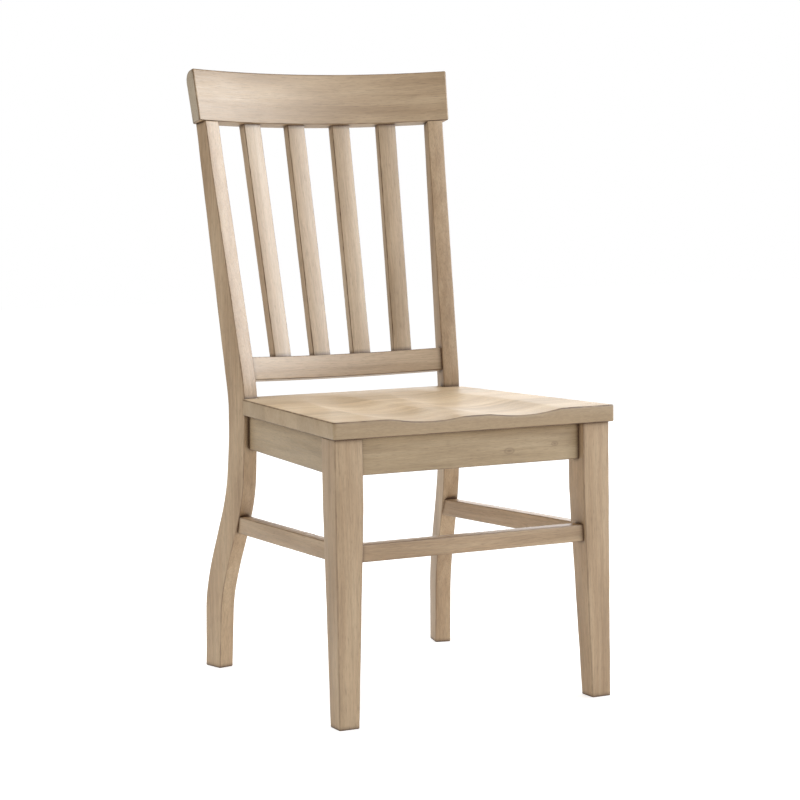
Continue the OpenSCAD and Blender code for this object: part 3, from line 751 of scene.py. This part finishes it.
for number in range(1, SLATS + 1):
    from_middle = number - (SLATS + 1) / 2
    slat_length, slat_place = slat_placing(from_middle * SLAT_PITCH_LOW,
                                           from_middle * SLAT_PITCH_TOP)
    wooden(f"slat_{number}", BACK_WOOD, slat_length, bar_extents(SLAT_W, SLAT_T), slat_place,
           joint=SLAT_TENON)

# ---------------------------------------------------------------- aprons

APRON_BAR = bar_extents(APRON_H, APRON_T)


def front_apron_place(a, b, s):
    """Front apron: straight from leg to leg."""
    return s - LEG_IN, APRON_SETBACK + b, APRON_Z + a


# Its grain starts at a fixed place, so that the pin knots fall where they should
wooden("front_apron", KNOTTY_WOOD, 2 * LEG_IN, APRON_BAR, front_apron_place,
       arris_r=APRON_ARRIS, end_r=HELD_END, joint=0.0, start=np.zeros(3))

REAR_APRON_Y = post_point(POST_W, REAR_APRON_SETBACK)[1]


def rear_apron_place(a, b, s):
    """Rear apron: its ends follow the turned inner faces of the posts."""
    y = REAR_APRON_Y + b
    return (2 * s / REAR_RUN - 1) * post_inner_x(y), y, APRON_Z + a


wooden("rear_apron", APRON_WOOD, REAR_RUN, APRON_BAR, rear_apron_place,
       arris_r=APRON_ARRIS, end_r=HELD_END, joint=0.0)


def side_apron_place(a, b, s):
    """Left side apron: runs along the seat's side, from the leg to the post's front."""
    outer = (SIDE_APRON_SETBACK + b) / math.cos(SIDE_ANGLE)
    z = APRON_Z + a
    front = post_front(z)
    end = POST_Y + front * math.cos(POST_TURN)
    for _ in range(SOLVE_STEPS):
        x = -seat_half(end) + outer
        end = POST_Y + (x - POST_X) * math.tan(POST_TURN) + front / math.cos(POST_TURN)
    y = LEG_W + s / SIDE_RUN * (end - LEG_W)
    return -seat_half(y) + outer, y, z


wooden_pair("{}_apron", APRON_WOOD, SIDE_RUN, APRON_BAR, side_apron_place,
            arris_r=APRON_ARRIS, end_r=HELD_END, joint=0.0)

# ---------------------------------------------------------------- stretchers


def front_stretcher_place(a, b, s):
    """Front stretcher: its ends follow the taper of the legs' inner faces."""
    z = FRONT_STRETCHER_TOP - FRONT_STRETCHER_H + a
    half = LEG_OUT - leg_side(z) + STRETCHER_TUCK
    return (2 * s / SIDE_RUN - 1) * half, FRONT_STRETCHER_SETBACK + b, z


wooden("front_stretcher", FRAME_WOOD, SIDE_RUN,
       bar_extents(FRONT_STRETCHER_H, FRONT_STRETCHER_T), front_stretcher_place,
       end_r=HELD_END, joint=0.0)

# The middle line of the left side stretcher, from the leg's back face to the post's front
START = np.array([-LEG_OUT + SIDE_STRETCHER_SETBACK + STRETCHER_T / 2,
                  float(leg_side(SIDE_STRETCHER_FRONT_Z)), SIDE_STRETCHER_FRONT_Z])
FINISH = np.array([*post_point(POST_W / 2, float(post_front(SIDE_STRETCHER_REAR_Z))),
                   SIDE_STRETCHER_REAR_Z])
RUN = FINISH - START
HEADING = -math.atan2(RUN[0], RUN[1])
PITCH = math.atan2(RUN[2], math.hypot(RUN[0], RUN[1]))
STRETCHER_SPIN = turned("Z", HEADING) @ turned("X", PITCH)
STRETCHER_WAY = STRETCHER_SPIN @ np.array([0.0, 1.0, 0.0])


def side_stretcher_place(a, b, s):
    """Left side stretcher: a bar from leg to post, its ends cut to the faces they meet.

    The far end is found by stepping along the bar until it lies on the post's front line.
    """
    local = np.stack([b - STRETCHER_T / 2, np.zeros_like(a), a - SIDE_STRETCHER_H / 2], axis=-1)
    base = local @ STRETCHER_SPIN.T + START
    near = (leg_side(base[..., 2]) - base[..., 1]) / STRETCHER_WAY[1] - STRETCHER_TUCK
    far = np.full(a.shape, np.linalg.norm(RUN))
    for _ in range(SOLVE_STEPS):
        p = base + far[..., None] * STRETCHER_WAY
        depth = (p[..., 1] - POST_Y) * math.cos(POST_TURN)
        depth -= (p[..., 0] - POST_X) * math.sin(POST_TURN)
        far = far + post_front(p[..., 2]) - depth
    along = near + s / SIDE_RUN * (far + STRETCHER_TUCK - near)
    p = base + along[..., None] * STRETCHER_WAY
    return p[..., 0], p[..., 1], p[..., 2]


wooden_pair("{}_stretcher", FRAME_WOOD, SIDE_RUN, bar_extents(SIDE_STRETCHER_H, STRETCHER_T),
            side_stretcher_place, end_r=HELD_END, joint=0.0)

# ---------------------------------------------------------------- seat

# The scoops are deepest at the first line and have run out at the second
SCOOP_FULL_Y = SEAT_FRONT_Y + 0.3 * SEAT_D
SCOOP_END_Y = SEAT_FRONT_Y + 0.9 * SEAT_D
# How softly rim, scoops and hump run into each other, in mm, and how far that dips them
SCOOP_BLEND = 1.1
SCOOP_DIP = 0.6 * SCOOP_BLEND

# The inner rings shrink towards this point
SEAT_MIDDLE = np.array([0.0, 215.0])
# Rounds of the lower and the upper edge, and the steps round each
SEAT_LOW_R = 1.6
SEAT_HIGH_R = 2.4
SEAT_ROUND_STEPS = 4
# Outline points stand this far apart, with this many steps round each corner
OUTLINE_STEP = 3.6
CORNER_STEPS = 6
# Rings underneath and up the side, as shares of the way, and the count of those on top
UNDER_SHARES = (0.25, 0.5, 0.75, 0.96)
SIDE_SHARES = (0.3, 0.6)
TOP_RINGS = 72
# How much of the end grain's tone the seat's edge takes, and how much more in front and rear
EDGE_TONE = 0.45
FRONT_TONE = 0.25
# Half the step over which the top's slope is measured
SLOPE_STEP = 0.5


def chord_radius(half, depth):
    """Radius of the circle whose chord has this half length and this depth."""
    return (half * half + depth * depth) / (2 * depth)


def scoop_height(x, y, middle, reach, depth):
    """Height of one scoop: the inside of a ring of round section standing on edge."""
    tube = chord_radius(reach, depth)
    hoop = chord_radius(SCOOP_END_Y - SCOOP_FULL_Y, depth)
    rho = hoop - tube + np.sqrt(np.maximum(tube**2 - (x - middle) ** 2, 0))
    under = np.maximum(rho**2 - (y - SCOOP_FULL_Y) ** 2, 0)
    return SEAT_H - depth + hoop - np.sqrt(under)


def seat_top(x, y):
    """Seat surface: the lowest of rim, two thigh scoops and the hump between, blended softly.

    The blend lowers the lowest by the logarithm of the sum of exp(-height / SCOOP_BLEND).
    """
    heights = np.stack([np.full(x.shape, SEAT_H),
                        scoop_height(x, y, -SCOOP_OFFSET, SCOOP_REACH, SCOOP_DEPTH),
                        scoop_height(x, y, SCOOP_OFFSET, SCOOP_REACH, SCOOP_DEPTH),
                        scoop_height(x, y, 0.0, SCOOP_OFFSET, HUMP_DEPTH)])
    lowest = heights.min(axis=0)
    crowd = np.exp(-(heights - lowest) / SCOOP_BLEND).sum(axis=0)
    return lowest - SCOOP_DIP * np.log(crowd)


def rounded_outline(corners):
    """Closed plan outline through corners (x, y, radius), each replaced by its arc.

    An arc starts where the circle touches the line from the corner before, and turns by
    half a turn less the corner's own angle. Long straights are then cut into even steps.
    """
    corners = np.array(corners)
    arcs = []
    for before, here, after in zip(np.roll(corners, 1, axis=0), corners,
                                   np.roll(corners, -1, axis=0)):
        u, v = before[:2] - here[:2], after[:2] - here[:2]
        u, v = u / np.linalg.norm(u), v / np.linalg.norm(v)
        half = math.acos(float(np.clip(u @ v, -1, 1))) / 2
        centre = here[:2] + (u + v) / np.linalg.norm(u + v) * (here[2] / math.sin(half))
        x, y = here[:2] + u * here[2] / math.tan(half) - centre
        sweep = math.copysign(math.pi - 2 * half, u[1] * v[0] - u[0] * v[1])
        angle = np.linspace(0, sweep, CORNER_STEPS + 1)
        arcs.append(centre + np.column_stack([np.cos(angle) * x - np.sin(angle) * y,
                                              np.sin(angle) * x + np.cos(angle) * y]))
    points = np.vstack(arcs)
    way = np.roll(points, -1, axis=0) - points
    steps = np.maximum(1, (np.linalg.norm(way, axis=1) / OUTLINE_STEP).astype(int))
    number = np.arange(steps.sum()) - np.repeat(np.cumsum(steps) - steps, steps)
    share = number / np.repeat(steps, steps)
    return np.repeat(points, steps, axis=0) + np.repeat(way, steps, axis=0) * share[:, None]


def seat_outline():
    """Plan of the seat, anticlockwise: rounded front corners, a notch round each post."""
    c, s = math.cos(POST_TURN), math.sin(POST_TURN)
    front = float(np.min(post_front(np.linspace(UNDER_SEAT, SEAT_H, 9)))) - NOTCH_GAP
    inner = POST_W + NOTCH_GAP
    deep = post_point(inner, front)
    # Where the notch's front line leaves through the seat's side
    out_a = -POST_INSET
    for _ in range(SOLVE_STEPS):
        x, y = post_point(out_a, front)
        out_a += (-seat_half(y) - x) / c
    side = post_point(out_a, front)
    # Where the notch's inner line leaves through the rear edge
    rear = post_point(inner, (SEAT_REAR_Y - POST_Y - inner * s) / c)
    left = [(*point, r) for point, r in zip((rear, deep, side), NOTCH_RADII)]
    left.append((-SEAT_FRONT_W / 2, SEAT_FRONT_Y, SEAT_CORNER_R))
    right = [(-x, y, r) for x, y, r in reversed(left)]
    return rounded_outline(left + right)


def seat_rings(outline, outward):
    """Rings of the seat, from underneath round the edges to the middle of the top.

    Edge rings move in along the outline's own normals, a quarter circle for each edge; the
    others shrink evenly towards one middle point. Each ring comes as its plan, its height,
    the glaze it holds, which on the lower edge is painted shade of the gap under the seat,
    and 1 where the boards' edge drinks the stain.
    """
    arc = np.linspace(0, np.pi / 2, SEAT_ROUND_STEPS + 1)
    low_inner, inner = outline - outward * SEAT_LOW_R, outline - outward * SEAT_HIGH_R
    low, high = UNDER_SEAT + SEAT_LOW_R, seat_top(*outline.T) - SEAT_HIGH_R
    rings = []
    for share in UNDER_SHARES:
        plan = SEAT_MIDDLE + (low_inner - SEAT_MIDDLE) * share
        rings.append((plan, UNDER_SEAT, 0.0, 0.0))
    for angle in arc:
        plan = outline - outward * SEAT_LOW_R * (1 - math.sin(angle))
        # Painted shade: the lower edge is darkened over nearly its whole arc, standing for the
        # shadow in the gap under the seat's overhang
        glaze_and_shade_strength = min(1.0, 2 * math.cos(angle))
        rings.append((plan, low - SEAT_LOW_R * math.cos(angle), glaze_and_shade_strength, float(angle > 0)))
    for share in SIDE_SHARES:
        rings.append((outline, low + (high - low) * share, 0.0, 1.0))
    for angle in arc:
        plan = outline - outward * SEAT_HIGH_R * (1 - math.cos(angle))
        height = seat_top(*plan.T) - SEAT_HIGH_R * (1 - math.sin(angle))
        rings.append((plan, height, math.sin(2 * angle), float(angle < np.pi / 3)))
    for share in np.linspace(1, 0, TOP_RINGS + 2)[1:-1]:
        plan = SEAT_MIDDLE + (inner - SEAT_MIDDLE) * share
        rings.append((plan, seat_top(*plan.T), 0.0, 0.0))
    return rings


def top_normals(flat, on_top):
    """The true normals of the seat's top, and none elsewhere.

    A normal is (-slope in x, -slope in y, 1) made one long; a slope is the difference in
    height over one millimetre.
    """
    x, y = flat[:, 0], flat[:, 1]
    slope_x = seat_top(x + SLOPE_STEP, y) - seat_top(x - SLOPE_STEP, y)
    slope_y = seat_top(x, y + SLOPE_STEP) - seat_top(x, y - SLOPE_STEP)
    normals = np.column_stack([-slope_x, -slope_y, np.ones(len(x))])
    normals /= np.linalg.norm(normals, axis=1)[:, None]
    return np.where(on_top[:, None], normals, 0.0)


def seat_piece():
    """The seat: glued boards with scooped tops and rounded edges, from its rings."""
    outline = seat_outline()
    way = np.roll(outline, -1, axis=0) - np.roll(outline, 1, axis=0)
    way /= np.linalg.norm(way, axis=1)[:, None]
    outward = np.stack([way[:, 1], -way[:, 0]], axis=-1)
    plans, heights, arris, edge = zip(*seat_rings(outline, outward))
    rows, ring = len(plans), len(outline)
    heights = np.stack([np.broadcast_to(height, ring) for height in heights])
    middle_top = float(seat_top(*SEAT_MIDDLE[:, None])[0])
    flat = np.vstack([np.dstack([np.array(plans), heights]).reshape(-1, 3),
                      [*SEAT_MIDDLE, UNDER_SEAT], [*SEAT_MIDDLE, middle_top]])
    # The edges drink more stain than the faces, the front and rear ones most
    tone = EDGE_TONE + FRONT_TONE * np.abs(outward[:, 1])
    on_end = np.append(np.outer(edge, tone).ravel(), [0.0, 0.0])
    # Glaze on the upper rounds, painted shade on the lower edge
    glaze_and_shade = np.append(np.repeat(arris, ring), [0.0, 0.0])
    piece = make_mesh("seat_look", flat, skin_faces(rows, ring),
                      {"grain": flat * MM, "arris": glaze_and_shade, "end_grain": on_end})
    # The rings on top, but for the one next to the rounded edge, are shaded by the true slope
    on_top = np.append(np.repeat(np.arange(rows) > rows - TOP_RINGS, ring), [False, True])
    piece.data.normals_split_custom_set_from_vertices(top_normals(flat, on_top).tolist())
    return piece


give(seat_piece(), SEAT_WOOD, "seat")

# ---------------------------------------------------------------- blocks, dowels, screws


def plated_steel(name, pale, dull):
    """Zinc-plated steel: pale grey, with the plating's soft mottling in colour and gloss."""
    material, tree, shader = new_material(name)
    shader.inputs["Metallic"].default_value = 1.0
    place = add(tree, "ShaderNodeTexCoord").outputs["Object"]
    # 900 marks in a metre: each about 1 mm wide
    mottling = add(tree, "ShaderNodeTexNoise", {"Scale": 900.0, "Detail": 3.0},
                   {"Vector": place}).outputs["Fac"]
    colour = add(tree, "ShaderNodeValToRGB", links={0: mottling},
                 stops=[(0.3, linear(dull)), (0.7, linear(pale))])
    tree.links.new(colour.outputs[0], shader.inputs["Base Color"])
    dullness = add(tree, "ShaderNodeMapRange", {3: 0.28, 4: 0.5}, {0: mottling})
    tree.links.new(dullness.outputs[0], shader.inputs["Roughness"])
    return material


def sawn_wood(name, light, dark):
    """Unfinished sawn hardwood: pale, dry, with short saw-scuffed streaks."""
    material, tree, shader = new_material(name)
    shader.inputs["Roughness"].default_value = 0.7
    place = add(tree, "ShaderNodeTexCoord").outputs["Object"]
    # 60 marks in a metre along the cut and 900 across it: about 17 mm by 1 mm
    spread = add(tree, "ShaderNodeMapping", {"Scale": (60, 60, 900)}, {"Vector": place})
    scuffs = add(tree, "ShaderNodeTexNoise", {"Scale": 1.0, "Detail": 4.0, "Roughness": 0.6},
                 {"Vector": spread.outputs[0]}).outputs["Fac"]
    colour = add(tree, "ShaderNodeValToRGB", links={0: scuffs},
                 stops=[(0.32, linear(dark)), (0.68, linear(light))])
    tree.links.new(colour.outputs[0], shader.inputs["Base Color"])
    relief = add(tree, "ShaderNodeBump", {"Strength": 0.3, "Distance": 0.4 * MM},
                 {"Height": scuffs})
    tree.links.new(relief.outputs[0], shader.inputs["Normal"])
    return material


HIDDEN_FINISHES = {"screws": plated_steel("zinc_plated_steel_screws", "#C4C4BE", "#9A9A94"),
                   "block": sawn_wood("sawn_hardwood_blocks", "#D8BE96", "#B89468"),
                   "dowels": sawn_wood("turned_birch_dowels", "#E0C79C", "#C9AA7A")}
for node_name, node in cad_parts.items():
    finish = HIDDEN_FINISHES.get(node_name.split("_")[-1])
    if finish:
        for slot_row in node.material_slots:
            slot_row.material = finish

# ---------------------------------------------------------------- floor, light, camera


def uneven_glow(tree, ray_kind, other, with_ray, seen):
    """A glow that differs by what looks at it: seen by the camera, or lit by one kind of ray.

    All the rays that are neither get the value called other.
    """
    ray = add(tree, "ShaderNodeLightPath").outputs
    unseen = add(tree, "ShaderNodeMapRange", {3: other, 4: with_ray}, {0: ray[ray_kind]})
    return add(tree, "ShaderNodeMapRange", {4: seen},
               {0: ray["Is Camera Ray"], 3: unseen.outputs[0]}).outputs[0]


def stage_floor(size=12.0):
    """A wide pale matte floor under the feet, in metres.

    It glows nearly white to the eye, less as light thrown up under the chair, and not at
    all in the gloss.
    """
    mesh = bpy.data.meshes.new("studio_floor")
    mesh.from_pydata([(-size, -size, 0), (size, -size, 0), (size, size, 0), (-size, size, 0)],
                     [], [(0, 1, 2, 3)])
    floor = bpy.data.objects.new("studio_floor", mesh)
    bpy.context.scene.collection.objects.link(floor)
    material, tree, shader = new_material("pale_matte_floor")
    shader.inputs["Base Color"].default_value = linear("#DEDEDC")
    shader.inputs["Roughness"].default_value = 0.9
    shader.inputs["Emission Color"].default_value = linear("#FFFFFF")
    tree.links.new(uneven_glow(tree, "Is Diffuse Ray", other=0.0, with_ray=0.55, seen=0.64),
                   shader.inputs["Emission Strength"])
    mesh.materials.append(material)


def studio_air():
    """White air all round: it lights the wood evenly and stays dim in the gloss."""
    world = bpy.data.worlds.new("studio_air")
    world.use_nodes = True
    tree = world.node_tree
    sky = tree.nodes["Background"]
    sky.inputs["Color"].default_value = linear("#FFFFFF")
    tree.links.new(uneven_glow(tree, "Is Glossy Ray", other=0.56, with_ray=0.14, seen=1.0),
                   sky.inputs["Strength"])
    bpy.context.scene.world = world
    bpy.context.scene.view_settings.view_transform = "Standard"


def softbox(name, azimuth, elevation, distance, width, height, watts, shines=False,
            lights=True):
    """An area light that looks at the middle of the chair; azimuth 0 is straight in front.

    One that shines shows in the lacquer's gloss, one that lights brightens the wood itself.
    """
    a, e = math.radians(azimuth), math.radians(elevation)
    target = Vector((0, 0, 0.5))
    where = target + distance * Vector((math.sin(a) * math.cos(e), -math.cos(a) * math.cos(e),
                                        math.sin(e)))
    light = bpy.data.lights.new(name, "AREA")
    light.shape = "RECTANGLE"
    light.size, light.size_y, light.energy = width, height, watts
    lamp = bpy.data.objects.new(name, light)
    lamp.matrix_world = Matrix.Translation(where) \
        @ (target - where).to_track_quat("-Z", "Y").to_matrix().to_4x4()
    lamp.visible_glossy = shines
    lamp.visible_diffuse = lights
    bpy.context.scene.collection.objects.link(lamp)


# The camera: degrees round, down and tilted, its place in mm in the maker's frame, its lens
CAMERA_AZIMUTH, CAMERA_PITCH, CAMERA_ROLL = -26.655, 5.316, -0.907
CAMERA_PLACE = (-1610.98, -2957.70, 791.45)
LENS, SENSOR = 101.67, 36.0


def long_lens_camera():
    """A long lens in front of the chair's left side, looking slightly down."""
    azimuth, pitch, roll = map(math.radians, (CAMERA_AZIMUTH, CAMERA_PITCH, CAMERA_ROLL))
    forward = Vector((-math.sin(azimuth) * math.cos(pitch), math.cos(azimuth)
                      * math.cos(pitch), -math.sin(pitch)))
    right = Vector((math.cos(azimuth), math.sin(azimuth), 0))
    up = right.cross(forward)
    turned_right = math.cos(roll) * right + math.sin(roll) * up
    turned_up = math.cos(roll) * up - math.sin(roll) * right
    where = (Vector(CAMERA_PLACE) + Vector((0, SHIFT_Y, 0))) * MM
    data = bpy.data.cameras.new("camera")
    data.lens, data.sensor_width = LENS, SENSOR
    camera = bpy.data.objects.new("camera", data)
    basis = Matrix((turned_right, turned_up, -forward)).transposed()
    camera.matrix_world = Matrix.Translation(where) @ basis.to_4x4()
    bpy.context.scene.collection.objects.link(camera)
    bpy.context.scene.camera = camera


stage_floor()
studio_air()
softbox("key_right_soft", 68, 16, 3.0, 2.0, 2.0, 32)
softbox("key_right_gloss", 57, 25, 3.0, 1.9, 1.7, 122, shines=True, lights=False)
softbox("rear_panel_gloss", 134, 10, 4.2, 3.6, 2.2, 62, shines=True, lights=False)
softbox("overhead_rear", 170, 76, 3.0, 2.5, 2.5, 74)
long_lens_camera()
